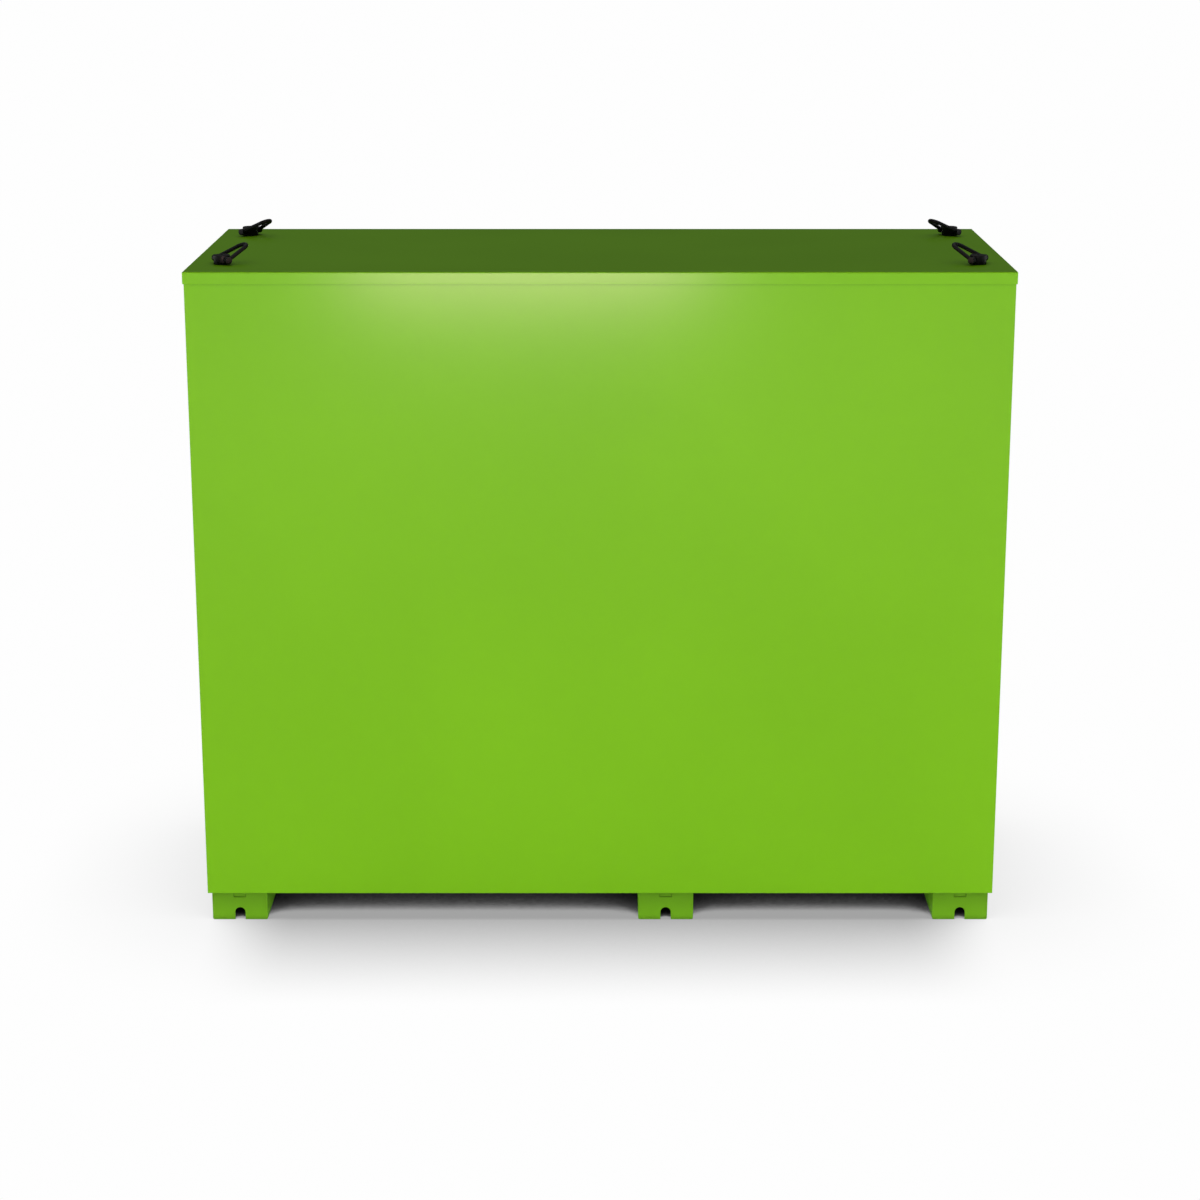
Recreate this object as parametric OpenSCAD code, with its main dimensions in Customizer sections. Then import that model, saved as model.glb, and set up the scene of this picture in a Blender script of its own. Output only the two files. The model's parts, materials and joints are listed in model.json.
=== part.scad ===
// Jobsite storage cabinet: a steel shell on three skids, two locking doors and four swivel lifting points.
// X runs across the width, Y from the doors at the front to the plain back, and Z up from the floor.
// The origin is on the floor, under the middle of the roof.

/* [Cabinet] */
// Width across the roof
roof_w = 1829; // [1700:1:2100]
// Depth across the roof, front to back
roof_d = 762; // [680:1:900]
// Height from the floor to the top of the roof
cabinet_h = 1515; // [1300:1:1800]
// Distance that the roof stands out in front of the doors
front_eave = 22; // [20:1:40]
// Depth of the roof's folded lip
roof_lip = 27; // [20:1:34]
// Thickness of the roof sheet
roof_sheet = 3; // [2:0.5:5]
// Thickness of the side, back and divider sheets
wall_sheet = 2; // [1.5:0.5:3]
// Thickness of the floor sheet
floor_sheet = 3; // [2:0.5:6]
// Width of the folded flanges and hems of the sheets
fold_w = 20; // [14:1:26]
// Distance of the divider and the middle skid from the centre, towards the left
divider_offset = 153; // [100:1:200]

/* [Skids] */
// Width of a skid
skid_w = 128; // [110:1:150]
// Height of a skid
skid_h = 67; // [55:1:100]
// Thickness of the skid plate
skid_sheet = 4; // [3:0.5:6]
// Width of the turned-in edges that a skid stands on
skid_foot = 26; // [16:1:34]
// Distance of the outer skids in from the cabinet's sides
skid_inset = 9; // [0:1:60]
// Distance of the skid ends in from the front and the back
skid_setback = 7; // [0:1:40]
// Width of the arched notch in each skid end
notch_w = 24; // [14:1:34]
// Height of the arched notch
notch_h = 30; // [20:1:36]
// Width of the tab slot in each skid end
slot_w = 28; // [16:1:60]
// Height of the tab slot
slot_h = 8; // [4:1:10]

/* [Door frame] */
// Width of the corner posts
post_w = 40; // [35:1:60]
// Depth of the posts, header, sill and mullion, front to back
frame_d = 65; // [62:1:80]
// Height of the header
header_h = 50; // [46:1:80]
// Height of the sill
sill_h = 40; // [40:1:80]
// Width of the mullion between the doors
mullion_w = 50; // [44:1:80]
// Wall thickness of the frame tubes
frame_wall = 3; // [2:0.5:5]
// Width of the door stop
stop_w = 20; // [19:1:28]
// Thickness of the door stop
stop_t = 3; // [2:0.5:4]
// Width of the rubber door seal
seal_w = 12; // [8:1:13]
// Space for the seal between a door and its stop
seal_space = 8; // [5:0.5:9]

/* [Doors] */
// Thickness of a door
door_t = 45; // [42:1:45]
// Gap round a door
door_gap = 4; // [4:0.5:6]
// Thickness of the door sheet
door_sheet = 1.5; // [1:0.5:3]
// Width of the folded edge inside a door
door_lip = 20; // [14:1:30]
// Radius of a hinge barrel
hinge_r = 8; // [7:0.5:8.5]
// Radius of a hinge pin
hinge_pin_r = 5; // [4:0.5:6]
// Length of each half of a hinge
hinge_len = 60; // [40:1:90]
// Distance of the hinge axis in front of the doors
hinge_out = 9; // [9:0.5:10]
// Distance of the end hinges from the ends of a door
hinge_inset = 150; // [110:1:260]
// Width of a hinge leaf
leaf_w = 34; // [24:1:38]
// Thickness of a hinge leaf
leaf_t = 3; // [2.5:0.5:5]

/* [Locks] */
// Height of the handles above the floor
lock_h = 880; // [700:1:1000]
// Distance of the handles from the free edges of the doors
lock_inset = 110; // [100:1:150]
// Radius of the round handle dish
dish_r = 60; // [58:1:70]
// Width of the dish's square flange at its narrowest
dish_flange = 15; // [12:1:20]
// Length of the T-handle's bar
handle_len = 104; // [80:1:110]
// Width of the T-handle's bar
handle_w = 20; // [16:1:26]
// Thickness of the T-handle's bar
handle_t = 11; // [8:1:12]
// Radius of the handle's spindle
spindle_r = 6; // [6:0.5:8]
// Radius of the locking rods
rod_r = 5; // [4:0.5:5]
// Module of the rack and pinion
gear_module = 3; // [2.8:0.1:3.2]
// Thickness of the pinion
gear_t = 10; // [8:1:10]

/* [Shelves] */
// Depth of a shelf
shelf_d = 600; // [480:1:600]
// Height of a shelf's folded edge
shelf_lip = 30; // [20:1:45]
// Thickness of the shelf sheet
shelf_sheet = 1.5; // [1:0.5:3]
// Width of a slotted upright
upright_w = 30; // [24:1:44]
// Depth of a slotted upright
upright_d = 12; // [12:1:20]
// Distance between the slots of an upright
slot_pitch = 60; // [50:1:70]

/* [Lifting points] */
// Distance of the lifting points in from the roof's sides
eye_inset_x = 71.5; // [60:0.5:110]
// Distance of the lifting points in from the roof's front and back
eye_inset_y = 127; // [110:1:200]
// Radius of the swivel body
eye_r = 18.5; // [17:0.5:20]
// Height of the swivel body
eye_h = 21; // [20:0.5:24]
// Height of the ring's pivot above the roof
eye_pivot_h = 11; // [10:0.5:12]
// Thickness of the ring's bar, as a radius
ring_r = 4.5; // [3.5:0.5:5]
// Radius of the ring's tip, at the middle of its bar
ring_tip_r = 15; // [12:0.5:20]
// Distance from the pivot to the tip, at the middle of the bar
ring_len = 67; // [56:1:90]
// Distance between the ring's two legs at the pivot
ring_span = 56; // [54:1:66]
// Angle at which the rings lean up from the roof
ring_tilt = 25; // [5:1:80]
// Angle at which the rings point from straight across the roof towards its middle
ring_yaw = 37; // [0:1:60]
// Radius of the lifting bolts
bolt_r = 6; // [5:0.5:6.5]

/* [Hidden] */

$fn = 48;

// Colours
green = [0.45, 0.71, 0.12];
black = [0.06, 0.06, 0.06];
zinc = [0.70, 0.71, 0.72];
steel = [0.55, 0.56, 0.58];
rubber = [0.12, 0.12, 0.13];

// Clearances
running = 0.08;     // radial gap of a pin, spindle or rod in its bore
touch = 0.3;        // gap between faces that slide or close on each other
stack = 1;          // gap on each side of the pinion
hole_gap = 0.5;     // radial gap of a bolt in its hole
eps = 1;            // how far a cut runs past a face

// Shell planes
side_x = roof_w / 2 - roof_sheet;         // outer face of the side panels
inner_x = side_x - wall_sheet;            // inner face of the side panels
back_y = roof_d / 2 - roof_sheet;         // outer face of the back panel
inner_back_y = back_y - wall_sheet;       // inner face of the back panel
leaf_y = inner_back_y - wall_sheet;       // inner face of the folds on the back panel
front_y = front_eave - roof_d / 2;        // front face of the frame and the doors
roof_z = cabinet_h - roof_sheet;          // underside of the roof sheet
fold_z = skid_h + wall_sheet;             // centre of the rounded bottom fold
floor_z = skid_h + floor_sheet;           // top of the floor
hem_z = fold_z + fold_w;                  // top of the hems

// Door frame
post_x = inner_x - post_w;                // inner face of the corner posts
frame_back_y = front_y + frame_d;         // rear face of the frame tubes
sill_z = floor_z + sill_h;                // top of the sill
header_z = roof_z - header_h;             // underside of the header
divider_x = -divider_offset;
mullion_left = divider_x - mullion_w / 2;
mullion_right = divider_x + mullion_w / 2;
stop_y = front_y + door_t + seal_space;   // front face of the door stops
seal_margin = (stop_w - seal_w) / 2;

// Doors
door_z = sill_z + door_gap;
door_h = header_z - sill_z - 2 * door_gap;
left_door_w = mullion_left + post_x - 2 * door_gap;
right_door_w = post_x - mullion_right - 2 * door_gap;
hinge_x = door_gap / 2;                   // hinge axis, out from the door's edge
hinge_at = [hinge_inset, door_h / 2, door_h - hinge_inset];
lock_z = lock_h - door_z;

// Lock layers, back from the door's face
gear_y = door_t - door_sheet - stack - gear_t;
dish_depth = gear_y - stack - door_sheet;
rod_y = gear_y + gear_t / 2;
boss_h = 4;
boss_r = spindle_r + 5;
handle_y = 4;                             // front of the handle's bar behind the door's face
flange_t = 1.5;
flange_half = dish_r + dish_flange;
dish_hole = dish_r + 2;                   // half the side of the square hole in the door

// Rack and pinion
gear_teeth = 12;
pressure = 25;
backlash = 0.4;
pitch_r = gear_module * gear_teeth / 2;
base_r = pitch_r * cos(pressure);
tip_r = pitch_r + gear_module;
root_r = pitch_r - 1.25 * gear_module;
tooth_pitch = PI * gear_module;
tooth_half = (tooth_pitch / 2 - backlash) / 2;
rack_tip_x = pitch_r - gear_module;
rack_root_x = pitch_r + 1.25 * gear_module;
rack_back_x = rack_root_x + 2 * rod_r;
rack_x = rack_root_x + rod_r;
drive_w = spindle_r * 1.35;               // side of the spindle's square end
stub_r = 4;
shackle_r = 3.6;                          // padlock hole in the handle and the dish's tab
shackle_z = 40;
rod_end_gap = 1;                          // rod end below the door's edge when unlocked
keeper_gap = 1.5;
keeper_r = rod_r + keeper_gap + 3;
keeper_len = 12;

// Shelves
upright_wall = 2;
slot_base = floor_z + 60;                  // lowest slot
upright_clear = 15;                       // end of an upright above the hems
upright_end = 20;                         // end of an upright above its highest slot
top_clear = 150;                          // least distance of the highest slot from the roof
slot_count = floor((roof_z - top_clear - slot_base) / slot_pitch) + 1;
slot_tall = 6;
slot_wide = 12;
shelf_gap = 2;
shelf_back_gap = 34;
shelf_back_y = leaf_y - shelf_back_gap;
shelf_front_y = shelf_back_y - shelf_d;
upright_inset = 60;                       // uprights in from the front and the back of a shelf
upright_at = [shelf_front_y + upright_inset, shelf_back_y - upright_inset];
ledge_w = 20;
clip_drop = 16;                           // hook centre below the shelf's bottom edge
left_levels = [6, 13];
right_levels = [5, 11];

// Lifting points
eye_x = roof_w / 2 - eye_inset_x;
eye_y = roof_d / 2 - eye_inset_y;
rail_w = 40;
rail_h = 30;
plate_t = 6;
plate_w = 56;
nut_h = 10;
nut_r = 1.75 * bolt_r;
head_r = 1.5 * bolt_r;
head_h = 4;
trunnion_r = ring_r - 0.5;
trunnion_in = head_r + 1;                 // inner end of the ring's trunnions, from the bolt's axis
bolt_end_z = roof_z - rail_h - plate_t - nut_h - 4;

function slot_z(n) = slot_base + n * slot_pitch;
function inv_deg(a) = tan(a) * 180 / PI - a;

// A closed rectangular band in the plane of the doors
module band(x0, x1, z0, z1, y, t, w) {
    translate([x0, y, z0])
        difference() {
            cube([x1 - x0, t, z1 - z0]);
            translate([w, -eps, w])
                cube([x1 - x0 - 2 * w, t + 2 * eps, z1 - z0 - 2 * w]);
        }
}

// A rectangular tube along one axis (0 for X, 1 for Y, 2 for Z)
module tube(size, along, wall) {
    cut = [for (i = [0:2]) i == along ? size[i] + 2 * eps : size[i] - 2 * wall];
    start = [for (i = [0:2]) i == along ? -eps : wall];
    difference() {
        cube(size);
        translate(start)
            cube(cut);
    }
}

// The shell

module roof() {
    color(green)
        difference() {
            translate([-roof_w / 2, -roof_d / 2, cabinet_h - roof_lip])
                cube([roof_w, roof_d, roof_lip]);
            translate([roof_sheet - roof_w / 2, roof_sheet - roof_d / 2, cabinet_h - roof_lip - eps])
                cube([roof_w - 2 * roof_sheet, roof_d - 2 * roof_sheet, roof_lip + eps - roof_sheet]);
            for (sx = [-1, 1], sy = [-1, 1])
                translate([sx * eye_x, sy * eye_y, roof_z - eps])
                    cylinder(r = bolt_r + hole_gap, h = roof_sheet + 2 * eps);
        }
}

// A plain sheet with a hem along its bottom: the fold is round outside and its leaf stands inside
module back_panel() {
    color(green)
        union() {
            translate([-side_x, inner_back_y, fold_z])
                cube([2 * side_x, wall_sheet, roof_z - fold_z]);
            translate([-side_x, inner_back_y, fold_z])
                rotate([0, 90, 0])
                    cylinder(r = wall_sheet, h = 2 * side_x);
            translate([wall_sheet - inner_x, leaf_y, fold_z])
                cube([2 * (inner_x - wall_sheet), wall_sheet, fold_w]);
        }
}

module side_panel() {
    color(green)
        union() {
            difference() {
                translate([inner_x, front_y, skid_h])
                    cube([wall_sheet, inner_back_y - front_y, roof_z - skid_h]);
                translate([inner_x - eps, frame_back_y, skid_h - eps])
                    cube([wall_sheet + 2 * eps, inner_back_y - frame_back_y + eps, wall_sheet + eps]);
                translate([inner_x - eps, leaf_y, skid_h - eps])
                    cube([wall_sheet + 2 * eps, wall_sheet + eps, 2 * wall_sheet + eps]);
            }
            translate([inner_x, frame_back_y, fold_z])
                rotate([-90, 0, 0])
                    cylinder(r = wall_sheet, h = leaf_y - frame_back_y);
            translate([inner_x - wall_sheet, frame_back_y, fold_z])
                cube([wall_sheet, leaf_y - frame_back_y, fold_w]);
            translate([inner_x - fold_w, leaf_y, hem_z + eps])
                cube([fold_w, wall_sheet, roof_z - hem_z - eps]);
        }
}

module left_side_panel() {
    mirror([1, 0, 0])
        side_panel();
}

module right_side_panel() {
    side_panel();
}

module floor_panel() {
    color(green)
        translate([wall_sheet - inner_x, front_y, skid_h])
            cube([2 * (inner_x - wall_sheet), leaf_y - front_y, floor_sheet]);
}

module divider() {
    color(green)
        union() {
            translate([divider_x - wall_sheet / 2, frame_back_y, floor_z])
                cube([wall_sheet, leaf_y - frame_back_y, roof_z - floor_z]);
            translate([divider_x - wall_sheet / 2, frame_back_y, floor_z])
                cube([fold_w, wall_sheet, roof_z - floor_z]);
            translate([divider_x - wall_sheet / 2, leaf_y, hem_z + eps])
                cube([fold_w, wall_sheet, roof_z - hem_z - eps]);
            translate([divider_x - wall_sheet / 2, leaf_y - wall_sheet, hem_z + eps])
                cube([fold_w, wall_sheet, roof_z - hem_z - eps]);
        }
}

// The door frame

module post(x) {
    color(green)
        translate([x, front_y, floor_z])
            tube([post_w, frame_d, roof_z - floor_z], 2, frame_wall);
}

module left_post() {
    post(-inner_x);
}

module right_post() {
    post(post_x);
}

module mullion() {
    color(green)
        translate([mullion_left, front_y, sill_z])
            tube([mullion_w, frame_d, header_z - sill_z], 2, frame_wall);
}

// Places children at the rods that go up into the header, and at those that go down into the sill
module at_upper_rods() {
    translate([left_door_w - lock_inset + rack_x + door_gap - post_x, front_y + rod_y, 0])
        children();
    translate([post_x - door_gap - right_door_w + lock_inset - rack_x, front_y + rod_y, 0])
        children();
}

module at_lower_rods() {
    translate([left_door_w - lock_inset - rack_x + door_gap - post_x, front_y + rod_y, 0])
        children();
    translate([post_x - door_gap - right_door_w + lock_inset + rack_x, front_y + rod_y, 0])
        children();
}

module header() {
    color(green)
        difference() {
            translate([-post_x, front_y, header_z])
                tube([2 * post_x, frame_d, header_h], 0, frame_wall);
            at_upper_rods()
                translate([0, 0, header_z - eps])
                    cylinder(r = keeper_r, h = frame_wall + 2 * eps);
        }
}

module sill() {
    color(green)
        difference() {
            translate([-post_x, front_y, floor_z])
                tube([2 * post_x, frame_d, sill_h], 0, frame_wall);
            at_lower_rods()
                translate([0, 0, sill_z - frame_wall - eps])
                    cylinder(r = keeper_r, h = frame_wall + 2 * eps);
        }
}

module keeper() {
    difference() {
        cylinder(r = keeper_r, h = keeper_len);
        translate([0, 0, -eps])
            cylinder(r = rod_r + keeper_gap, h = keeper_len + 2 * eps);
    }
}

module rod_keepers() {
    color(zinc) {
        at_upper_rods()
            translate([0, 0, header_z])
                keeper();
        at_lower_rods()
            translate([0, 0, sill_z - keeper_len])
                keeper();
    }
}

module door_stops() {
    color(green) {
        band(-post_x, mullion_left, sill_z, header_z, stop_y, stop_t, stop_w);
        band(mullion_right, post_x, sill_z, header_z, stop_y, stop_t, stop_w);
    }
}

module door_seal(x0, x1) {
    color(rubber)
        band(x0 + seal_margin, x1 - seal_margin, sill_z + seal_margin, header_z - seal_margin,
             stop_y - seal_space + touch, seal_space - touch, seal_w);
}

module left_door_seal() {
    door_seal(-post_x, mullion_left);
}

module right_door_seal() {
    door_seal(mullion_right, post_x);
}

module roof_rail(x) {
    color(green)
        difference() {
            translate([x - rail_w / 2, frame_back_y, roof_z - rail_h])
                tube([rail_w, leaf_y - frame_back_y, rail_h], 1, frame_wall);
            for (sy = [-1, 1])
                translate([x, sy * eye_y, roof_z - rail_h - eps])
                    cylinder(r = bolt_r + hole_gap, h = rail_h + 2 * eps);
        }
}

module left_roof_rail() {
    roof_rail(-eye_x);
}

module right_roof_rail() {
    roof_rail(eye_x);
}

// The skids

// An open-bottomed channel that stands on its turned-in edges
module skid(x) {
    length = back_y - front_y - 2 * skid_setback;
    color(green)
        translate([x - skid_w / 2, front_y + skid_setback, 0])
            difference() {
                cube([skid_w, length, skid_h]);
                translate([skid_sheet, -eps, skid_sheet])
                    cube([skid_w - 2 * skid_sheet, length + 2 * eps, skid_h - 2 * skid_sheet]);
                translate([skid_sheet + skid_foot, -eps, -eps])
                    cube([skid_w - 2 * (skid_sheet + skid_foot), length + 2 * eps, skid_sheet + 2 * eps]);
            }
}

function skid_x(i) = i == 1 ? divider_x : (i - 1) * (side_x - skid_inset - skid_w / 2);

module left_skid() {
    skid(skid_x(0));
}

module middle_skid() {
    skid(skid_x(1));
}

module right_skid() {
    skid(skid_x(2));
}

// Closes one end of a skid, with an arched notch over the floor and a tab slot under the cabinet
module skid_end_plate() {
    w = skid_w - 2 * skid_sheet;
    gap_w = skid_w - 2 * (skid_sheet + skid_foot);
    arch_z = notch_h - notch_w / 2;
    rotate([90, 0, 0])
        linear_extrude(height = skid_sheet, center = true)
            difference() {
                union() {
                    translate([-w / 2, skid_sheet])
                        square([w, skid_h - 2 * skid_sheet]);
                    translate([-gap_w / 2, 0])
                        square([gap_w, 2 * skid_sheet]);
                }
                translate([-notch_w / 2, -eps])
                    square([notch_w, arch_z + eps]);
                translate([0, arch_z])
                    circle(r = notch_w / 2);
                translate([-slot_w / 2, skid_h - skid_sheet - slot_h])
                    square([slot_w, slot_h + eps]);
            }
}

module skid_end_plates() {
    color(green)
        for (i = [0:2], y = [front_y + skid_setback + skid_sheet / 2, back_y - skid_setback - skid_sheet / 2])
            translate([skid_x(i), y, 0])
                skid_end_plate();
}

// Shelves and their slotted uprights

// Channel on a wall at x = 0 that opens towards the wall
module upright() {
    z0 = floor_z + fold_w + upright_clear;
    h = slot_z(slot_count - 1) + slot_tall + upright_end - z0;
    difference() {
        translate([0, -upright_w / 2, z0])
            cube([upright_d, upright_w, h]);
        translate([-eps, upright_wall - upright_w / 2, z0 - eps])
            cube([upright_d - upright_wall + eps, upright_w - 2 * upright_wall, h + 2 * eps]);
        for (n = [0:slot_count - 1])
            translate([upright_d - 2 * upright_wall, -slot_wide / 2, slot_z(n) - slot_tall / 2])
                cube([3 * upright_wall, slot_wide, slot_tall]);
    }
}

// Bracket on the face of an upright, whose ledge is at z = 0 and whose hook hangs in a slot
module shelf_clip() {
    leg_t = 3;
    hook_w = slot_wide - 2;
    hook_t = 4;
    hook_drop = 10;
    leg_h = clip_drop + 12;
    hook_x = upright_d - upright_wall - leg_t;
    translate([upright_d, -slot_wide, -leg_h])
        cube([leg_t, 2 * slot_wide, leg_h]);
    translate([upright_d, -slot_wide, -leg_t])
        cube([ledge_w, 2 * slot_wide, leg_t]);
    translate([hook_x, -hook_w / 2, -clip_drop - hook_t / 2])
        cube([upright_d + eps - hook_x, hook_w, hook_t]);
    translate([hook_x, -hook_w / 2, -clip_drop - hook_drop])
        cube([leg_t - touch, hook_w, hook_drop + hook_t / 2]);
}

// Places children on both walls of the left or the right bay
module on_walls(right) {
    x0 = right ? divider_x + wall_sheet / 2 : -inner_x;
    x1 = right ? inner_x : divider_x - wall_sheet / 2;
    for (y = upright_at) {
        translate([x0, y, 0])
            children();
        translate([x1, y, 0])
            mirror([1, 0, 0])
                children();
    }
}

module shelf_uprights() {
    color(zinc)
        for (right = [false, true])
            on_walls(right)
                upright();
}

module shelf_clips() {
    color(zinc) {
        for (n = left_levels)
            on_walls(false)
                translate([0, 0, slot_z(n) + clip_drop])
                    shelf_clip();
        for (n = right_levels)
            on_walls(true)
                translate([0, 0, slot_z(n) + clip_drop])
                    shelf_clip();
    }
}

// Tray with its folded edges down, which stands on the clips of slot n
module shelf(right, n) {
    x0 = (right ? divider_x + wall_sheet / 2 : -inner_x) + upright_d + shelf_gap;
    x1 = (right ? inner_x : divider_x - wall_sheet / 2) - upright_d - shelf_gap;
    color(zinc)
        translate([x0, shelf_front_y, slot_z(n) + clip_drop])
            difference() {
                cube([x1 - x0, shelf_d, shelf_lip]);
                translate([shelf_sheet, shelf_sheet, -eps])
                    cube([x1 - x0 - 2 * shelf_sheet, shelf_d - 2 * shelf_sheet, shelf_lip - shelf_sheet + eps]);
            }
}

module left_lower_shelf() {
    shelf(false, left_levels[0]);
}

module left_upper_shelf() {
    shelf(false, left_levels[1]);
}

module right_lower_shelf() {
    shelf(true, right_levels[0]);
}

module right_upper_shelf() {
    shelf(true, right_levels[1]);
}

// Doors: each is drawn from its hinge edge at x = 0, its face at y = 0 and its lower edge at z = 0

module place_door(right) {
    translate([right ? post_x - door_gap : door_gap - post_x, front_y, door_z])
        mirror([right ? 1 : 0, 0, 0])
            children();
}

function lock_x(w) = w - lock_inset;

// Pan with folded edges and inner lips, the hole for the dish and the holes for the rods
module door(w) {
    difference() {
        cube([w, door_t, door_h]);
        translate([door_sheet, door_sheet, door_sheet])
            cube([w - 2 * door_sheet, door_t - 2 * door_sheet, door_h - 2 * door_sheet]);
        translate([door_lip, door_t - door_sheet - eps, door_lip])
            cube([w - 2 * door_lip, door_sheet + 2 * eps, door_h - 2 * door_lip]);
        translate([lock_x(w) - dish_hole, -eps, lock_z - dish_hole])
            cube([2 * dish_hole, door_sheet + 2 * eps, 2 * dish_hole]);
        translate([lock_x(w) + rack_x, rod_y, door_h - door_sheet - eps])
            cylinder(r = rod_r + hole_gap, h = door_sheet + 2 * eps);
        translate([lock_x(w) - rack_x, rod_y, -eps])
            cylinder(r = rod_r + hole_gap, h = door_sheet + 2 * eps);
    }
}

// Hat-section stiffeners on the inside of the door's sheet
module stiffeners(w, count) {
    hat_w = 50;
    hat_d = 24;
    wing = 15;
    hat_gap = 2;
    dish_clear = 30;
    hat_h = door_h - 2 * door_sheet - 2 * hat_gap;
    zone = lock_x(w) - dish_r - dish_clear;
    for (i = [1:count])
        translate([i * zone / (count + 1), door_sheet, door_sheet + hat_gap])
            difference() {
                union() {
                    translate([-hat_w / 2, 0, 0])
                        cube([hat_w, hat_d, hat_h]);
                    translate([-hat_w / 2 - wing, 0, 0])
                        cube([hat_w + 2 * wing, door_sheet, hat_h]);
                }
                translate([door_sheet - hat_w / 2, -eps, -eps])
                    cube([hat_w - 2 * door_sheet, hat_d - door_sheet + eps, hat_h + 2 * eps]);
            }
}

// One barrel of a hinge, with its leaf towards +x
module hinge_half() {
    leaf_l = hinge_len - touch / 2;
    cylinder(r = hinge_r, h = leaf_l);
    cube([hinge_r, hinge_out, leaf_l]);
    translate([0, hinge_out - leaf_t, 0])
        cube([leaf_w, leaf_t, leaf_l]);
}

module door_hinges() {
    for (z = hinge_at)
        translate([-hinge_x, -hinge_out, z + touch / 2])
            difference() {
                hinge_half();
                translate([0, 0, -eps])
                    cylinder(r = hinge_pin_r + running, h = hinge_len - 4);
            }
}

module frame_hinges() {
    for (z = hinge_at)
        translate([-hinge_x, -hinge_out, z - hinge_len]) {
            mirror([1, 0, 0])
                hinge_half();
            cylinder(r = hinge_pin_r, h = 2 * hinge_len - 8);
        }
}

// Round cup with a square flange over the door's face, a boss for the spindle and a tab for a padlock
module dish() {
    depth = dish_depth + door_sheet;
    round_r = 8;
    tab_t = 4;
    tab_h = 20;
    tab_x = handle_w / 2 + touch;
    difference() {
        union() {
            rotate([-90, 0, 0])
                rotate_extrude()
                    difference() {
                        union() {
                            cup_outline(dish_r, depth, round_r);
                            translate([0, -flange_t])
                                square([dish_r + dish_flange / 2, flange_t]);
                        }
                        translate([0, -flange_t - eps])
                            square([dish_r - door_sheet, flange_t + 2 * eps]);
                        cup_outline(dish_r - door_sheet, dish_depth, round_r - door_sheet);
                    }
            difference() {
                translate([-flange_half, -flange_t, -flange_half])
                    cube([2 * flange_half, flange_t, 2 * flange_half]);
                translate([0, -flange_t - eps, 0])
                    rotate([-90, 0, 0])
                        cylinder(r = dish_r, h = flange_t + 2 * eps);
            }
            translate([0, dish_depth - boss_h, 0])
                rotate([-90, 0, 0])
                    cylinder(r = boss_r, h = boss_h + door_sheet);
            translate([-tab_x - tab_t, handle_y, shackle_z - tab_h / 2])
                cube([tab_t, depth - handle_y, tab_h]);
        }
        translate([0, -eps, 0])
            rotate([-90, 0, 0])
                cylinder(r = spindle_r + running, h = depth + 2 * eps);
        translate([-tab_x - tab_t - eps, handle_y + handle_t / 2, shackle_z])
            rotate([0, 90, 0])
                cylinder(r = shackle_r, h = tab_t + 2 * eps);
    }
}

// Half outline of a cup of radius r and depth d with a rounded bottom edge
module cup_outline(r, d, round_r) {
    square([r, d - round_r]);
    square([r - round_r, d]);
    translate([r - round_r, d - round_r])
        circle(r = round_r);
}

// T-handle on its spindle: level when the rods are drawn back, upright when they are home
module handle() {
    bar_half = handle_len / 2 - handle_w / 2;
    hub_r = 15;
    translate([0, handle_y + handle_t, 0])
        rotate([90, 0, 0])
            difference() {
                linear_extrude(height = handle_t) {
                    translate([-bar_half, -handle_w / 2])
                        square([2 * bar_half, handle_w]);
                    for (s = [-1, 1])
                        translate([s * bar_half, 0])
                            circle(r = handle_w / 2);
                    circle(r = hub_r);
                }
                translate([shackle_z, handle_w, handle_t / 2])
                    rotate([90, 0, 0])
                        cylinder(r = shackle_r, h = 2 * handle_w);
            }
    translate([0, handle_y + handle_t, 0])
        rotate([-90, 0, 0]) {
            cylinder(r1 = hub_r, r2 = spindle_r + 2, h = dish_depth - boss_h - touch - handle_y - handle_t);
            cylinder(r = spindle_r, h = gear_y - handle_y - handle_t - touch);
            cylinder(r = stub_r, h = door_t - handle_y - handle_t);
        }
    translate([-drive_w / 2, gear_y - touch, -drive_w / 2])
        cube([drive_w, gear_t + 2 * touch, drive_w]);
}

function tooth_angle(r) =
    tooth_half / pitch_r * 180 / PI + inv_deg(pressure) - inv_deg(acos(min(1, base_r / r)));

// Twelve involute teeth: each flank runs from the root through the base circle to the tip
module pinion() {
    radii = concat([root_r], [for (i = [0:4]) base_r + (tip_r - base_r) * i / 4]);
    flank = [for (r = radii) [r, tooth_angle(max(r, base_r))]];
    points = [
        for (t = [0:gear_teeth - 1], side = [-1, 1], i = [0:len(flank) - 1])
            let (p = flank[side < 0 ? i : len(flank) - 1 - i], a = t * 360 / gear_teeth + side * p[1])
            p[0] * [cos(a), sin(a)]
    ];
    translate([0, gear_y + gear_t, 0])
        rotate([90, 0, 0])
            linear_extrude(height = gear_t)
                difference() {
                    polygon(points);
                    square(drive_w + 2 * running, center = true);
                }
}

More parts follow.
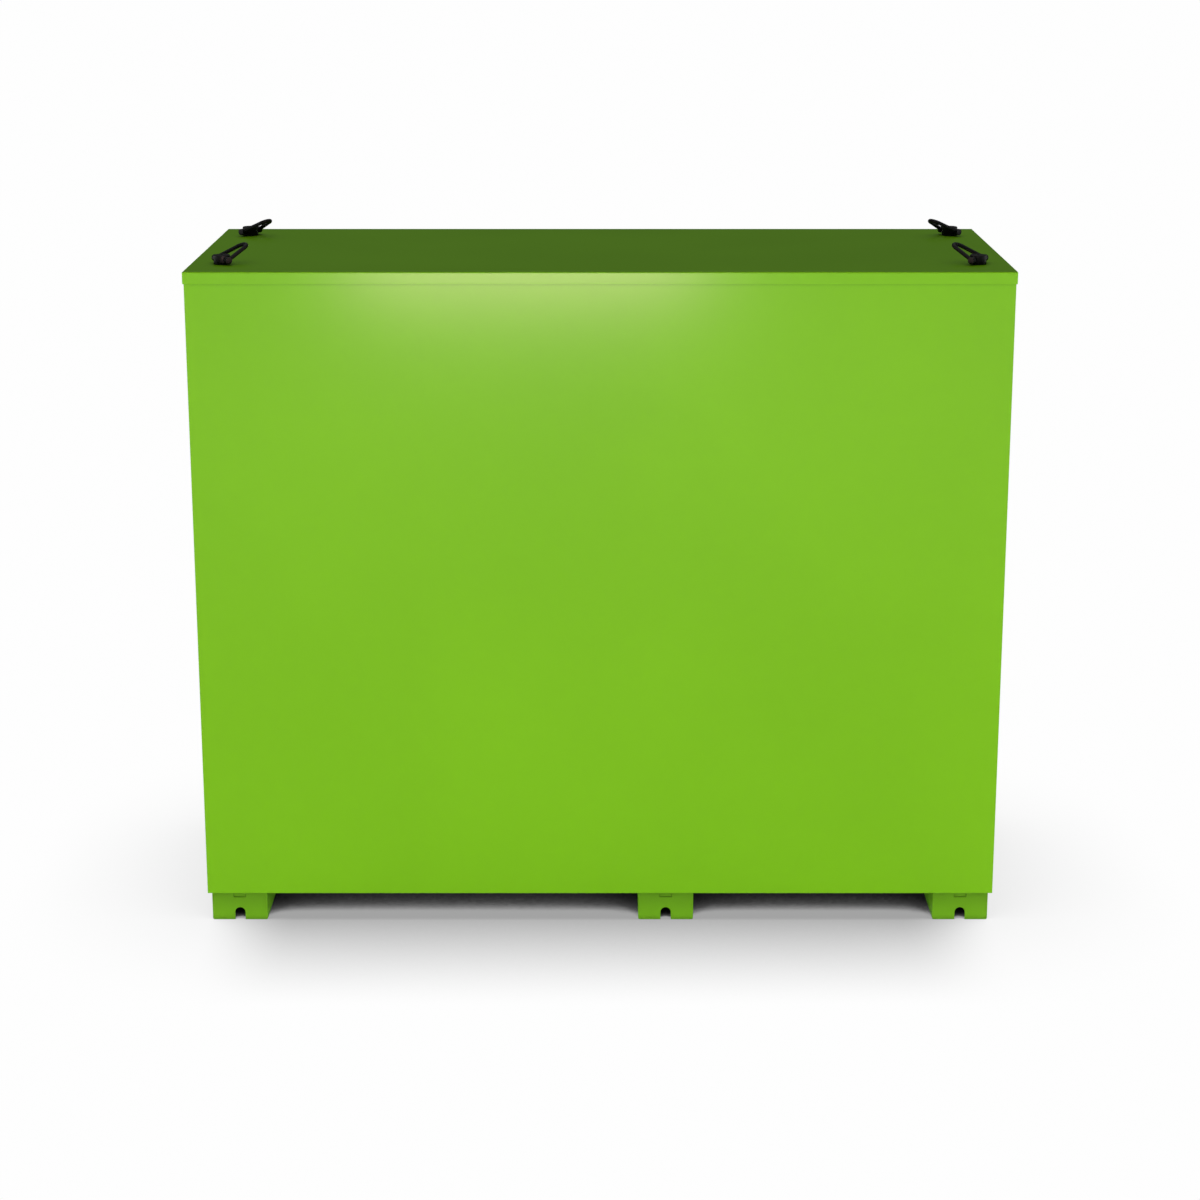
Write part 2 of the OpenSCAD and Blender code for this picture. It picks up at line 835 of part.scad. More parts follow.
// Rack in mesh with the pinion on its +x side, running on as a round rod up to z = reach
module rod(reach) {
    gaps = [-4:1];
    half_tip = (tooth_pitch / 2 + backlash) / 2 + gear_module * tan(pressure);
    half_root = (tooth_pitch / 2 + backlash) / 2 - 1.25 * gear_module * tan(pressure);
    low = -5 * tooth_pitch;
    high = 2 * tooth_pitch;
    outline = concat(
        [[rack_back_x, low], [rack_tip_x, low]],
        [for (k = gaps, p = [[rack_tip_x, -half_tip], [rack_root_x, -half_root],
                             [rack_root_x, half_root], [rack_tip_x, half_tip]])
            [p[0], p[1] + k * tooth_pitch]],
        [[rack_tip_x, high], [rack_back_x, high]]
    );
    tip_h = 3;
    translate([0, rod_y + gear_t / 2, 0])
        rotate([90, 0, 0])
            linear_extrude(height = gear_t)
                polygon(outline);
    translate([rack_x, rod_y, high - rod_r]) {
        cylinder(r = rod_r, h = reach - tip_h - high + rod_r);
        translate([0, 0, reach - tip_h - high + rod_r])
            cylinder(r1 = rod_r, r2 = rod_r - 1.5, h = tip_h);
    }
}

// Channel behind the dish that keeps the racks in mesh, on two spacers
module lock_case() {
    case_h = 2 * (dish_r - 10);
    half_w = rack_back_x + touch;
    spacer_r = 4;
    spacer_z = tip_r + 16;
    behind = gear_y - stack;
    difference() {
        union() {
            translate([-half_w - door_sheet, door_t - door_sheet, -case_h / 2])
                cube([2 * (half_w + door_sheet), door_sheet, case_h]);
            for (x = [-half_w - door_sheet, half_w])
                translate([x, behind, -case_h / 2])
                    cube([door_sheet, door_t - behind, case_h]);
            for (z = [-1, 1])
                translate([0, behind, z * spacer_z])
                    rotate([-90, 0, 0])
                        cylinder(r = spacer_r, h = door_t - behind - door_sheet);
        }
        rotate([-90, 0, 0])
            cylinder(r = stub_r + running, h = door_t + eps);
    }
}

// Angle bracket on the door's sheet with the bore that a rod slides in
module rod_guide() {
    plate = 3;
    w = 26;
    foot_h = 24;
    difference() {
        union() {
            translate([-w / 2, door_sheet, 0])
                cube([w, door_t - 3 * door_sheet - stack, plate]);
            translate([-w / 2, door_sheet, 0])
                cube([w, plate, foot_h]);
        }
        translate([0, rod_y, -eps])
            cylinder(r = rod_r + running, h = plate + 2 * eps);
    }
}

module rod_guides(w) {
    near = 120;
    far = 60;
    for (z = [lock_z + near, door_h - far])
        translate([lock_x(w) + rack_x, 0, z])
            rod_guide();
    for (z = [lock_z - near, far])
        translate([lock_x(w) - rack_x, 0, z])
            rod_guide();
}

module at_lock(w) {
    translate([lock_x(w), 0, lock_z])
        children();
}

module upper_rod(w) {
    at_lock(w)
        rod(door_h - rod_end_gap - lock_z);
}

module lower_rod(w) {
    at_lock(w)
        rotate([0, 180, 0])
            rod(lock_z - rod_end_gap);
}

module fixed_hinges() {
    color(green)
        for (right = [false, true])
            place_door(right)
                frame_hinges();
}

module left_door() {
    color(green)
        place_door(false)
            door(left_door_w);
}

module right_door() {
    color(green)
        place_door(true)
            door(right_door_w);
}

module left_door_hinges() {
    color(green)
        place_door(false)
            door_hinges();
}

module right_door_hinges() {
    color(green)
        place_door(true)
            door_hinges();
}

module left_stiffeners() {
    color(green)
        place_door(false)
            stiffeners(left_door_w, 2);
}

module right_stiffeners() {
    color(green)
        place_door(true)
            stiffeners(right_door_w, 3);
}

module left_dish() {
    color(black)
        place_door(false)
            at_lock(left_door_w)
                dish();
}

module right_dish() {
    color(black)
        place_door(true)
            at_lock(right_door_w)
                dish();
}

module left_lock_case() {
    color(zinc)
        place_door(false)
            at_lock(left_door_w)
                lock_case();
}

module right_lock_case() {
    color(zinc)
        place_door(true)
            at_lock(right_door_w)
                lock_case();
}

module left_rod_guides() {
    color(zinc)
        place_door(false)
            rod_guides(left_door_w);
}

module right_rod_guides() {
    color(zinc)
        place_door(true)
            rod_guides(right_door_w);
}

module left_handle() {
    color(steel)
        place_door(false)
            at_lock(left_door_w)
                handle();
}

module right_handle() {
    color(steel)
        place_door(true)
            at_lock(right_door_w)
                handle();
}

module left_pinion() {
    color(steel)
        place_door(false)
            at_lock(left_door_w)
                pinion();
}

module right_pinion() {
    color(steel)
        place_door(true)
            at_lock(right_door_w)
                pinion();
}

module left_upper_rod() {
    color(steel)
        place_door(false)
            upper_rod(left_door_w);
}

module left_lower_rod() {
    color(steel)
        place_door(false)
            lower_rod(left_door_w);
}

module right_upper_rod() {
    color(steel)
        place_door(true)
            upper_rod(right_door_w);
}

module right_lower_rod() {
    color(steel)
        place_door(true)
            lower_rod(right_door_w);
}

// Lifting points

module at_eyes() {
    for (sx = [-1, 1], sy = [-1, 1])
        translate([sx * eye_x, sy * eye_y, 0])
            children();
}

// Round body that turns on its bolt, with a cross bore for the ring's trunnions
module swivel() {
    bevel = 1.5;
    color(black)
        difference() {
            union() {
                translate([0, 0, touch])
                    cylinder(r = eye_r, h = eye_h - bevel - touch);
                translate([0, 0, eye_h - bevel])
                    cylinder(r1 = eye_r, r2 = eye_r - bevel, h = bevel);
            }
            cylinder(r = bolt_r + running, h = eye_h + eps);
            translate([0, 0, eye_h - head_h])
                cylinder(r = head_r + hole_gap, h = head_h + eps);
            for (s = [-1, 1])
                translate([0, s * (trunnion_in - touch), eye_pivot_h])
                    rotate([-s * 90, 0, 0])
                        cylinder(r = trunnion_r + running, h = eye_r);
        }
}

// Pear-shaped ring: two legs lean in from the pivot and run tangent into the round tip, with a slight
// swelling at each joint
module ring() {
    half = ring_span / 2;
    reach = ring_len - ring_tip_r;
    slant = sqrt(reach * reach + half * half);
    lean = atan2(half, reach) - asin(ring_tip_r / slant);
    leg = sqrt(slant * slant - ring_tip_r * ring_tip_r);
    boss = ring_r + 3;
    boss_half = ring_r + 1;
    swell_r = ring_r + 0.3;
    color(black)
        translate([0, 0, eye_pivot_h])
            rotate([0, -ring_tilt, 0]) {
                translate([reach, 0, 0])
                    rotate([0, 0, lean - 90])
                        rotate_extrude(angle = 180 - 2 * lean)
                            translate([ring_tip_r, 0])
                                circle(r = ring_r);
                for (s = [-1, 1])
                    translate([0, s * half, 0]) {
                        rotate([0, 90, -s * lean]) {
                            cylinder(r = ring_r, h = leg);
                            translate([0, 0, leg])
                                sphere(r = swell_r);
                        }
                        rotate([90, 0, 0])
                            cylinder(r = boss, h = 2 * boss_half, center = true);
                        rotate([s * 90, 0, 0])
                            cylinder(r = trunnion_r, h = half - trunnion_in);
                    }
            }
}

// Places a lifting point in the corner of the roof given by sx and sy, turned to its rest direction
module at_eye(sx, sy) {
    translate([sx * eye_x, sy * eye_y, cabinet_h])
        rotate([0, 0, sx < 0 ? -sy * ring_yaw : 180 + sy * ring_yaw])
            children();
}

module front_left_swivel() {
    at_eye(-1, -1)
        swivel();
}

module front_right_swivel() {
    at_eye(1, -1)
        swivel();
}

module rear_left_swivel() {
    at_eye(-1, 1)
        swivel();
}

module rear_right_swivel() {
    at_eye(1, 1)
        swivel();
}

module front_left_ring() {
    at_eye(-1, -1)
        ring();
}

module front_right_ring() {
    at_eye(1, -1)
        ring();
}

module rear_left_ring() {
    at_eye(-1, 1)
        ring();
}

module rear_right_ring() {
    at_eye(1, 1)
        ring();
}

module eye_bolts() {
    socket_r = 0.58 * bolt_r;
    socket_d = 2.5;
    head_z = cabinet_h + eye_h - head_h + touch;
    color(black)
        at_eyes()
            difference() {
                union() {
                    translate([0, 0, bolt_end_z])
                        cylinder(r = bolt_r, h = head_z - bolt_end_z);
                    translate([0, 0, head_z])
                        cylinder(r = head_r, h = head_h - touch);
                }
                translate([0, 0, cabinet_h + eye_h - socket_d])
                    cylinder(r = socket_r, h = socket_d + eps, $fn = 6);
            }
}

module eye_nuts() {
    color(zinc)
        at_eyes()
            translate([0, 0, roof_z - rail_h - plate_t - nut_h])
                difference() {
                    cylinder(r = nut_r, h = nut_h, $fn = 6);
                    translate([0, 0, -eps])
                        cylinder(r = bolt_r + running, h = nut_h + 2 * eps);
                }
}

module eye_backing_plates() {
    color(zinc)
        at_eyes()
            translate([-plate_w / 2, -plate_w / 2, roof_z - rail_h - plate_t])
                difference() {
                    cube([plate_w, plate_w, plate_t]);
                    translate([plate_w / 2, plate_w / 2, -eps])
                        cylinder(r = bolt_r + hole_gap, h = plate_t + 2 * eps);
                }
}

roof();
back_panel();
left_side_panel();
right_side_panel();
floor_panel();
left_post();
right_post();
header();
sill();
mullion();
divider();
left_roof_rail();
right_roof_rail();
left_skid();
middle_skid();
right_skid();
skid_end_plates();
door_stops();
left_door_seal();
right_door_seal();
fixed_hinges();
rod_keepers();
shelf_uprights();
shelf_clips();
left_lower_shelf();
left_upper_shelf();
right_lower_shelf();
right_upper_shelf();
eye_bolts();
eye_nuts();
eye_backing_plates();
left_door();
left_door_hinges();
left_stiffeners();
left_dish();
left_lock_case();
left_rod_guides();
right_door();
right_door_hinges();
right_stiffeners();
right_dish();
right_lock_case();
right_rod_guides();
left_handle();
left_pinion();
left_upper_rod();
left_lower_rod();
right_handle();
right_pinion();
right_upper_rod();
right_lower_rod();
front_left_swivel();
front_right_swivel();
rear_left_swivel();
rear_right_swivel();
front_left_ring();
front_right_ring();
rear_left_ring();
rear_right_ring();
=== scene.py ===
# %% [markdown]
# # A steel storage cabinet for a building site
# The cabinet is a painted sheet-steel shell on three skids, with four black lifting points on its roof and two doors
# on the side away from the camera. Its sheets, hinges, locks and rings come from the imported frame, which holds every
# size. This script adds what a maker's drawing leaves out: paint, zinc, rounded folds, seals, welds and screws.

# %% Load the frame
import bmesh
import bpy
import json
import math
from mathutils import Matrix, Vector


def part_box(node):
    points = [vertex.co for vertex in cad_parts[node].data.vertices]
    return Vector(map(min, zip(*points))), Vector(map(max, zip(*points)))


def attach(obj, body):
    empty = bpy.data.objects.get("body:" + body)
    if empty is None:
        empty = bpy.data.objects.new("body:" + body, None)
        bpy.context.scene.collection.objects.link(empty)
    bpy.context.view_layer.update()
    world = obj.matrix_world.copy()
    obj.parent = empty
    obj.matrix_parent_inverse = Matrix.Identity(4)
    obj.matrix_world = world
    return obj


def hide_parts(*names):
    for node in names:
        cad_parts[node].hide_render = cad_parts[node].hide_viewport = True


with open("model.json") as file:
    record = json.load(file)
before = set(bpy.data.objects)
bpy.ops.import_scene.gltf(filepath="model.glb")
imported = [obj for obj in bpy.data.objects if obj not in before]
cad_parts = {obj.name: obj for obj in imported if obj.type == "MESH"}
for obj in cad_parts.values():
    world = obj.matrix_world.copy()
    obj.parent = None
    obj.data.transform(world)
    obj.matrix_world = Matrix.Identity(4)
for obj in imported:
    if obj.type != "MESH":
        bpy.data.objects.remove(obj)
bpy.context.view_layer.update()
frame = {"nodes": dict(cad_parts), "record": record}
nodes = frame["nodes"]
bpy.ops.object.select_all(action="DESELECT")

# %% [markdown]
# ## The camera
# The cabinet was photographed from behind with a long lens, so its sides hardly converge. The lens and the tilt were
# fitted to the straight edges of the shell. A camera could track an empty at the middle of the cabinet, but one that is
# aimed by two angles is easier to keep level, because the third angle, the roll, stays zero.

# %% Place the camera
LENS_MM, SENSOR_MM = 80.68, 36
CAMERA_AT = Vector((0.0, 6.243, 2.334))
LOOKS_DOWN = math.radians(14.908)

bpy.ops.object.camera_add(location=CAMERA_AT, rotation=(math.pi / 2 - LOOKS_DOWN, 0, math.pi))
camera = bpy.context.object
camera.name = "camera"
camera.data.lens = LENS_MM
camera.data.sensor_width = SENSOR_MM
bpy.context.scene.camera = camera

# %% [markdown]
# ## Shader sums as Python
# Paint and zinc are built from noise and a little arithmetic. Nodes can be placed by hand in the editor, but a sum is
# easier to read as a sum. The class Field wraps one number that changes over a surface, and each operator on it adds a
# Math node. The class Shader holds the tree and has the single method that adds any other node.

# %% Fields and shaders
class Field:
    """A number that changes over a surface. Arithmetic on it adds Math nodes to the shader."""

    def __init__(self, shader, socket):
        self.shader, self.socket = shader, socket

    def math(self, operation, *values):
        node = self.shader.node("ShaderNodeMath", {"operation": operation}, dict(enumerate(values)))
        return Field(self.shader, node.outputs[0])

    def __add__(self, other):
        return self.math("ADD", self, other)

    def __mul__(self, other):
        return self.math("MULTIPLY", self, other)

    def __sub__(self, other):
        return self.math("SUBTRACT", self, other)

    def __rsub__(self, other):
        return self.math("SUBTRACT", other, self)

    def __pow__(self, other):
        return self.math("POWER", self, other)

    __radd__, __rmul__ = __add__, __mul__

    def step(self, low, high):
        """0 at low, 1 at high and a soft change between them."""
        node = self.shader.node("ShaderNodeMapRange", {"interpolation_type": "SMOOTHSTEP"},
                                {"Value": self, "From Min": low, "From Max": high})
        return Field(self.shader, node.outputs["Result"])


class Shader:
    """A node tree, and the one way in which this script adds nodes to it."""

    def __init__(self, name, tree=None):
        if tree is None:
            self.material = bpy.data.materials.new(name)
            self.material.use_nodes = True
            tree = self.material.node_tree
        self.tree = tree

    def join(self, value, socket):
        """Links a field or a socket, or sets a plain value."""
        if isinstance(value, Field):
            value = value.socket
        if isinstance(value, bpy.types.NodeSocket):
            self.tree.links.new(value, socket)
        else:
            socket.default_value = value

    def node(self, kind, settings=None, sockets=None):
        """Adds a node of that kind: its settings first, then the values or links of its sockets."""
        node = self.tree.nodes.new(kind)
        for key, value in (settings or {}).items():
            setattr(node, key, value)
        for key, value in (sockets or {}).items():
            self.join(value, node.inputs[key])
        return node

    def field(self, node, output=0):
        return Field(self, node.outputs[output])

    def colour(self, factor, low, high):
        """A colour that goes from low to high with the factor. Each end is red, green and blue, or another mix."""
        low, high = ((*end, 1) if isinstance(end, tuple) else end for end in (low, high))
        return self.node("ShaderNodeMix", {"data_type": "RGBA"}, {0: factor, 6: low, 7: high}).outputs[2]

    def place(self, stretch=(1, 1, 1)):
        """The object's own coordinates in metres, stretched for grain that runs one way."""
        at = self.node("ShaderNodeTexCoord").outputs["Object"]
        return self.node("ShaderNodeMapping", None, {"Vector": at, "Scale": stretch}).outputs[0]

    def noise(self, per_metre, detail=2.0, stretch=(1, 1, 1)):
        """Soft noise from 0 to 1 with about that many blots per metre."""
        return self.field(self.node("ShaderNodeTexNoise", None,
                                    {"Vector": self.place(stretch), "Scale": per_metre, "Detail": detail}))

    def bump(self, height, depth, strength=1.0, normal=None):
        """A normal that is bent as if the surface rose by depth metres where height is 1."""
        sockets = {"Height": height, "Distance": depth, "Strength": strength}
        if normal is not None:
            sockets["Normal"] = normal
        return self.node("ShaderNodeBump", None, sockets).outputs[0]

    def finish(self, **sockets):
        """Sets or links the sockets of the Principled shader and returns the material."""
        principled = self.tree.nodes["Principled BSDF"]
        for key, value in sockets.items():
            self.join(value, principled.inputs[key.replace("_", " ")])
        return self.material


# %% [markdown]
# ## The studio
# A product studio is a white sweep of paper with wide, soft lamps. Enough lamps would turn the paper white, but they
# would also bleach the paint. So the camera sees the paper as white by itself, and an ambient occlusion node keeps the
# soft shadow where the cabinet comes near it. Its normal leans to the front, because the shadow falls to the back.
#
# The lamps stand low, with their top edges below the roof. The walls then get their plain level from the lamps and the
# paper, and the roof only gets the dim light of the ceiling, which makes it as dark as it is in the photograph.

# %% Paper floor
FLOOR_SIZE = 60.0
SHADOW_REACH = 0.5                      # distance over which the cabinet darkens the paper, in metres
SHADOW_LEAN = Vector((0, -0.8, 0.6))
SHADOW_SAMPLES = 32
SHADOW_DEPTH = 1.12                     # the power of the shadow: the higher, the darker
SHADOW_BESIDE = 0.25                    # how much of that depth is left to the left and right of the cabinet
SKID_X, SIDE_X = 0.70, 0.92             # where that change starts and ends
BESIDE_DARK, BESIDE_LIT = 0.1, 0.35     # how open the paper is where it starts and ends
UNDER_BLACK = 0.02                      # how open the paper is where it is black
UNDER_DARK, UNDER_LIT = 0.075, 0.155    # how open it is where light gets in under the edge, and where that is full
UNDER_LEVEL = 0.37                      # the level of that light
PAPER_SEEN = 0.99                       # the white that the camera sees
PAPER_MATT = (0.9, 0.9, 0.9, 1)         # the white that throws light on the walls

scene = bpy.context.scene
scene.view_settings.view_transform = "Standard"
paper = Shader("studio_paper")
openness = paper.field(paper.node("ShaderNodeAmbientOcclusion", {"samples": SHADOW_SAMPLES},
                                  {"Distance": SHADOW_REACH, "Normal": SHADOW_LEAN}), "AO")
across = paper.field(paper.node("ShaderNodeSeparateXYZ", None, {0: paper.place()}), "X")
beside = across.math("ABSOLUTE", across).step(SKID_X, SIDE_X) * openness.step(BESIDE_DARK, BESIDE_LIT)
shadow = openness ** (SHADOW_DEPTH * (1 - (1 - SHADOW_BESIDE) * beside)) * openness.step(UNDER_BLACK, UNDER_DARK)
shadow = shadow.math("MAXIMUM", shadow, UNDER_LEVEL * openness.step(UNDER_DARK, UNDER_LIT))
ray = paper.node("ShaderNodeLightPath")
for_camera = sum(paper.field(ray, kind) for kind in ("Is Camera Ray", "Is Glossy Ray", "Is Transmission Ray"))
seen = paper.node("ShaderNodeEmission", None, {"Color": PAPER_SEEN * shadow})
matt = paper.node("ShaderNodeBsdfDiffuse", None, {"Color": PAPER_MATT})
look = paper.node("ShaderNodeMixShader", None, {0: for_camera, 1: matt.outputs[0], 2: seen.outputs[0]})
paper.join(look.outputs[0], paper.tree.nodes["Material Output"].inputs["Surface"])

bpy.ops.mesh.primitive_plane_add(size=FLOOR_SIZE)
floor = bpy.context.object
floor.name = "floor"
floor.data.materials.append(paper.material)
print("floor", FLOOR_SIZE, "m wide")

# %% Ceiling light
HORIZON = 0.01                  # how bright the room is at the height of the lamps, which the roof mirrors
CEILING = 0.38                  # how much brighter it is above
CEILING_MIRRORED = 0.5          # what glossy metal sees more of the white studio
SKY_LOW, SKY_HIGH = 0.25, 0.8   # the sine of the height where the ceiling's light starts and where it is full

world = bpy.data.worlds.new("studio")
scene.world = world
world.use_nodes = True
sky = Shader("studio", world.node_tree)
path = sky.node("ShaderNodeLightPath")
for_camera, mirrored = sky.field(path, "Is Camera Ray"), sky.field(path, "Is Glossy Ray")
towards = sky.node("ShaderNodeSeparateXYZ", None, {0: sky.node("ShaderNodeTexCoord").outputs["Generated"]})
height = sky.field(towards, "Z").step(SKY_LOW, SKY_HIGH)
dome = HORIZON + height * (CEILING + CEILING_MIRRORED * mirrored)
sky.join(dome + for_camera * (PAPER_SEEN - dome), world.node_tree.nodes["Background"].inputs["Color"])

# %% Lamps
LAMP_FAR, LAMP_Z = 5.5, 0.75
LAMP_W, LAMP_H, LAMP_WATTS = 6, 1.4, 84
GLOW_AT = Vector((0.18, 1.08, 1.46))
GLOW_W, GLOW_H, GLOW_WATTS = 0.85, 0.06, 22
GLOW_COLOUR = (1.0, 0.68, 0.62)     # a little red, so that its sheen on green paint is nearly white


def softbox(name, at, aim, width, height, watts):
    """A wide lamp at a place, turned towards the point that it lights."""
    bpy.ops.object.light_add(type="AREA", location=at)
    lamp = bpy.context.object
    lamp.name = name
    lamp.rotation_euler = (Vector(aim) - Vector(at)).to_track_quat("-Z", "Y").to_euler()
    lamp.data.shape = "RECTANGLE"
    lamp.data.size, lamp.data.size_y = width, height
    lamp.data.energy = watts
    return lamp


def floor_light(name, towards, soft, level):
    """A sun for the paper alone, which throws its light on at the walls: its direction, softness and level."""
    bpy.ops.object.light_add(type="SUN")
    lamp = bpy.context.object
    lamp.name = name
    lamp.rotation_euler = towards.to_track_quat("Z", "Y").to_euler()
    lamp.data.angle = math.radians(soft)
    lamp.data.energy = level * math.pi / towards.normalized().z
    lamp.light_linking.receiver_collection = paper_only
    return lamp


paper_only = bpy.data.collections.new("paper_only")
paper_only.objects.link(floor)
for name, x, y in (("key", 0, LAMP_FAR), ("front_fill", 0, -LAMP_FAR),
                   ("left_fill", -LAMP_FAR, 0), ("right_fill", LAMP_FAR, 0)):
    softbox(name, (x, y, LAMP_Z), (0, 0, LAMP_Z), LAMP_W, LAMP_H, LAMP_WATTS)
floor_light("floor_front", Vector((0, 1, 0.8)), 40, 0.5)
floor_light("floor_top", Vector((0, -0.3, 1)), 60, 0.3)

# The soft sheen along the top of the back comes from a strip lamp that only glossy rays see.
glow = softbox("glow", GLOW_AT, GLOW_AT - Vector((0, 1, 0)), GLOW_W, GLOW_H, GLOW_WATTS)
glow.data.color = GLOW_COLOUR
glow.visible_diffuse = glow.visible_camera = False

# %% [markdown]
# ## Green powder coat
# The sheets are sprayed with charged powder and baked. The coat is even, with three small faults that the eye knows:
# a slow change in thickness over half a metre, the fine ripple called orange peel, and dust that forks and floors leave
# on the skids, which makes them rougher; their darker colour there is painted shade. The ripple could be modelled, but
# it is a twentieth of a millimetre deep, so a Bump node bends the normal instead. A Bevel node rounds the cut edges of
# the sheets in the same way.
#
# The light of the studio comes from low down and fills every crease. So shade is painted into the colour: the paint is
# a little darker where another sheet comes close, which an ambient occlusion node measures, and on the skids, most near
# their top, which the shell shades.

# %% Green powder coat
GREEN_THIN, GREEN_FULL = (0.208, 0.531, 0.003), (0.220, 0.559, 0.003)
# The skids' colours are painted shade: darker than the clean coat near the floor, and darker still at their top.
GREEN_SKID_SHADE = (0.172, 0.436, 0.006)
GREEN_SHADED = (0.118, 0.300, 0.003)        # painted shade at the top of the skids, where the edge of the shell shades them
# painted shade in creases, where another sheet comes close
GREEN_CREASE_SHADE = (0.062, 0.160, 0.001)
CREASE_REACH, CREASE_DEPTH = 0.012, 0.9     # how far the painted shade beside a neighbouring sheet reaches, and how dark it is
CREASE_SAMPLES = 4
SHADE_FOOT, SKID_TOP = 0.010, 0.067         # the painted shade under the shell grows from one height, and the skids' dust and painted shade reach up to the other
SKID_EDGE = 0.004                           # half the height over which the dust and the skids' painted shade end
CUT_EDGE = 0.0012                           # radius of the cut edges under the paint


def green_powder_coat():
    coat = Shader("green_powder_coat")
    thickness = coat.noise(1.6, detail=3)
    peel = coat.noise(420, detail=1)
    height = coat.field(coat.node("ShaderNodeSeparateXYZ", None, {0: coat.place()}), "Z")
    # The band of the skids: its roughness stands for dust, and its darker colour is painted shade.
    dust = (1 - height.step(SKID_TOP - SKID_EDGE, SKID_TOP + SKID_EDGE)) * (0.8 + 0.2 * coat.noise(14, detail=4))
    painted_skid_shade = coat.colour(height.step(SHADE_FOOT, SKID_TOP), GREEN_SKID_SHADE, GREEN_SHADED)
    colour = coat.colour(dust, coat.colour(thickness.step(0.3, 0.7), GREEN_THIN, GREEN_FULL), painted_skid_shade)
    # Painted shade: the colour darkens where an ambient occlusion node finds another sheet close by.
    openness = coat.field(coat.node("ShaderNodeAmbientOcclusion", {"samples": CREASE_SAMPLES},
                                    {"Distance": CREASE_REACH}), "AO")
    colour = coat.colour(CREASE_DEPTH * (1 - openness), colour, GREEN_CREASE_SHADE)
    round_edge = coat.node("ShaderNodeBevel", {"samples": 4}, {"Radius": CUT_EDGE}).outputs[0]
    return coat.finish(Base_Color=colour, Roughness=0.33 + 0.05 * thickness + 0.2 * dust,
                       Normal=coat.bump(peel, 0.00005, normal=round_edge), Specular_IOR_Level=0.15)


# %% [markdown]
# ## Black steel
# The lifting points are forged and blackened, so their surface is dull with a fine, uneven grain. The dishes of the
# locks are black too, but powder-coated: a coarser, regular texture that hides fingerprints.

# %% Black steel
def black_forged_steel():
    steel = Shader("black_forged_steel")
    scale, grain = steel.noise(90, detail=4), steel.noise(1500, detail=2)
    return steel.finish(Base_Color=steel.colour(scale.step(0.35, 0.7), (0.002, 0.002, 0.003), (0.005, 0.005, 0.006)),
                        Roughness=0.45 + 0.2 * scale, Normal=steel.bump(scale + 0.4 * grain, 0.00012),
                        Specular_IOR_Level=0.14)


def black_powder_coat():
    coat = Shader("black_powder_coat")
    texture, dust = coat.noise(1100, detail=1), coat.noise(30, detail=4)
    return coat.finish(Base_Color=coat.colour(dust.step(0.4, 0.8), (0.014, 0.014, 0.014), (0.024, 0.024, 0.023)),
                       Roughness=0.42 + 0.12 * texture, Normal=coat.bump(texture, 0.0001), Specular_IOR_Level=0.35)


# %% [markdown]
# ## Zinc
# Zinc that is put on hot freezes in crystals called spangles, each of which throws the light another way. A Voronoi
# texture makes such cells, and one random value for each cell changes its grey and its gloss. Handles, rods and pinions
# are plated cold instead. They have no crystals, only the fine lines that grinding leaves along the bar, which are
# noise that is stretched along one axis.

# %% Zinc
def galvanised_steel():
    zinc = Shader("galvanised_steel")
    cells = zinc.node("ShaderNodeTexVoronoi", None, {"Vector": zinc.place(), "Scale": 75, "Randomness": 1})
    tone = zinc.field(zinc.node("ShaderNodeSeparateColor", None, {0: cells.outputs["Color"]}))
    stain = zinc.noise(9, detail=4)
    return zinc.finish(Base_Color=zinc.colour(tone * 0.7 + stain * 0.5, (0.30, 0.31, 0.325), (0.52, 0.53, 0.54)),
                       Metallic=1.0, Roughness=0.36 + 0.18 * tone, Normal=zinc.bump(zinc.noise(400), 0.00003))


def bright_steel():
    steel = Shader("bright_steel")
    lines, stain = steel.noise(2200, detail=2, stretch=(0.05, 1, 0.4)), steel.noise(40, detail=3)
    return steel.finish(Base_Color=steel.colour(stain.step(0.3, 0.7), (0.33, 0.335, 0.34), (0.43, 0.43, 0.425)),
                        Metallic=1.0, Roughness=0.34 + 0.14 * lines + 0.08 * stain,
                        Normal=steel.bump(lines, 0.00003))


def seal_rubber():
    rubber = Shader("seal_rubber")
    bloom, grain = rubber.noise(18, detail=4), rubber.noise(1300, detail=2)
    return rubber.finish(Base_Color=rubber.colour(bloom.step(0.4, 0.8), (0.013, 0.013, 0.013), (0.03, 0.03, 0.029)),
                         Roughness=0.62 + 0.15 * bloom, Normal=rubber.bump(grain, 0.00005), Specular_IOR_Level=0.4)


FINISH = {make.__name__: make() for make in (green_powder_coat, black_forged_steel, black_powder_coat,
                                             galvanised_steel, bright_steel, seal_rubber)}
for part in frame["record"]["subparts"]:
    mesh = nodes[part["node"]].data
    mesh.materials.clear()
    mesh.materials.append(FINISH[part["material_slot"]])
print("finishes", list(FINISH))

# %% [markdown]
# ## The bench
# Pieces are made as by hand: a primitive, then edit mode, then a modifier. The operators of edit mode work on what is
# selected, so each step first selects its faces or edges by their place. These helpers keep that short.

# %% Bench helpers
X, Y, Z = range(3)
NEAR = 1e-5                     # closer than this is the same place, in metres
SMOOTH_BELOW = math.radians(35)


def box_of(node):
    """The lowest and the highest corner of a node."""
    return [Vector(corner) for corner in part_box(node)]


def in_plane(part, axis, place):
    """Whether an edge or face lies in the plane that crosses the axis there."""
    return all(abs(v.co[axis] - place) < NEAR for v in part.verts)


def spread(first, last, count):
    """Places at even steps from first to last."""
    return [first + n * (last - first) / (count - 1) for n in range(count)]


def pick(piece):
    """Makes the piece the only selected object."""
    bpy.ops.object.select_all(action="DESELECT")
    piece.select_set(True)
    bpy.context.view_layer.objects.active = piece


def edit(piece):
    pick(piece)
    bpy.ops.object.mode_set(mode="EDIT")


